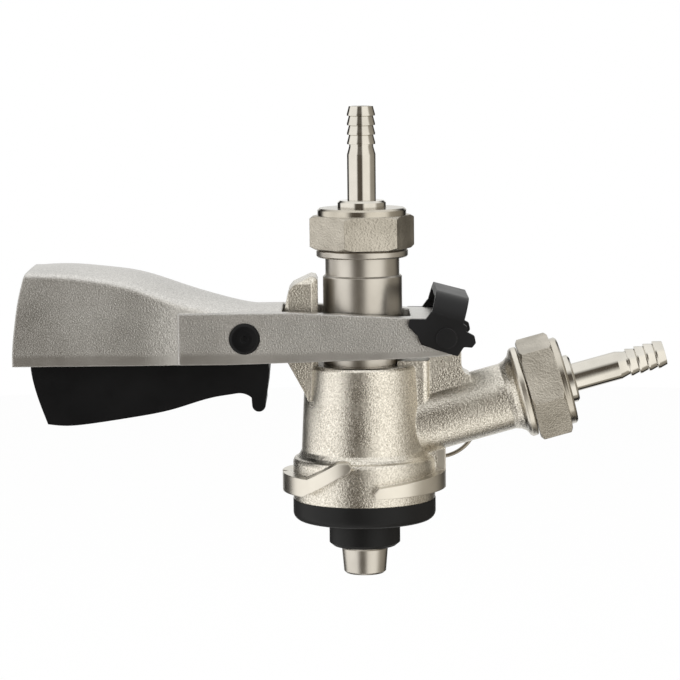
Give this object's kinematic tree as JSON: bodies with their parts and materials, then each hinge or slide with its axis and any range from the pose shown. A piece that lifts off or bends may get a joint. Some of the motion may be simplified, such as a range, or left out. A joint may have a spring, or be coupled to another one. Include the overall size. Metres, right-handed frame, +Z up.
{
  "type": "keg coupler",
  "caption": "Lug-lock keg coupler: cast body, sliding probe worked by a ring lever with a squeeze trigger, a gas inlet and a dispense outlet with barbed tails, and a pull-ring relief valve.",
  "frame": {"origin": "on the probe's axis, in the plane of the casting's underside, where the coupler meets the keg", "axes": "+Z up along the probe to the dispense outlet, +X towards the gas inlet, the grip towards -X"},
  "size_m": [0.1933, 0.0516, 0.1395],
  "materials": {
    "plated_casting": "sand-textured nickel-plated casting",
    "cast_aluminium": "sand-textured cast",
    "stainless": "turned",
    "black_rubber": "matt",
    "black_plastic": "satin"
  },
  "bodies": {
    "coupler": {"body_casting": "plated_casting", "body_seal": "black_rubber", "gas_gasket": "black_rubber", "gas_tailpiece": "stainless", "gas_check_valve": "black_rubber", "relief_bush": "stainless", "relief_spring": "stainless"},
    "probe_unit": {"probe": "stainless", "probe_seal": "black_rubber", "lower_oring": "black_rubber", "upper_oring": "black_rubber", "ball_cage": "black_plastic", "beer_gasket": "black_rubber", "beer_tailpiece": "stainless"},
    "ball": {"check_ball": "stainless"},
    "beer_union": {"beer_nut": "stainless"},
    "gas_union": {"gas_nut": "stainless"},
    "lever_unit": {"lever": "cast_aluminium", "hinge_pin": "stainless", "hinge_clip": "black_plastic", "trigger_pin": "stainless", "near_pin_cap": "black_plastic", "far_pin_cap": "black_plastic", "trigger_spring": "stainless"},
    "trigger_unit": {"trigger": "black_plastic", "latch_hook": "stainless"},
    "relief_plunger": {"relief_stem": "stainless", "relief_washer": "black_rubber"},
    "ring": {"pull_ring": "stainless"}
  },
  "joints": [
    {"name": "lever_lift", "type": "hinge", "parent": "coupler", "child": "lever_unit", "pos_m": [0.0242, 0, 0.0496], "axis": [0, 1, 0], "range_deg": [0, 28]},
    {"name": "probe_slide", "type": "slide", "parent": "coupler", "child": "probe_unit", "axis": [0, 0, 1], "range_m": [0, 0.0117]},
    {"name": "ball_lift", "type": "slide", "parent": "probe_unit", "child": "ball", "axis": [0, 0, 1], "range_m": [0, 0.006]},
    {"name": "beer_nut_turn", "type": "hinge", "parent": "probe_unit", "child": "beer_union", "pos_m": [0, 0, 0.08], "axis": [0, 0, 1], "continuous": true},
    {"name": "gas_nut_turn", "type": "hinge", "parent": "coupler", "child": "gas_union", "pos_m": [0.04878, 0, 0.03157], "axis": [0.9659, 0, 0.2588], "continuous": true},
    {"name": "trigger_squeeze", "type": "hinge", "parent": "lever_unit", "child": "trigger_unit", "pos_m": [-0.0347, 0, 0.0498], "axis": [0, 1, 0], "range_deg": [0, 8], "stiffness_Nm_per_rad": 0.4, "springref_deg": -5.73},
    {"name": "relief_pull", "type": "slide", "parent": "coupler", "child": "relief_plunger", "axis": [0.6769, 0.7361, 0], "range_m": [0, 0.0018], "stiffness_N_per_m": 1500, "springref_m": -0.001, "deforming": ["relief_spring"]},
    {"name": "ring_swing", "type": "hinge", "parent": "relief_plunger", "child": "ring", "pos_m": [0.02301, 0.02503, 0.0321], "axis": [1, 0, 0], "range_deg": [-20, 90]}
  ],
  "couplings": [
    {"joint": "probe_slide", "follows": "lever_lift", "m_per_rad": 0.0236}
  ]
}
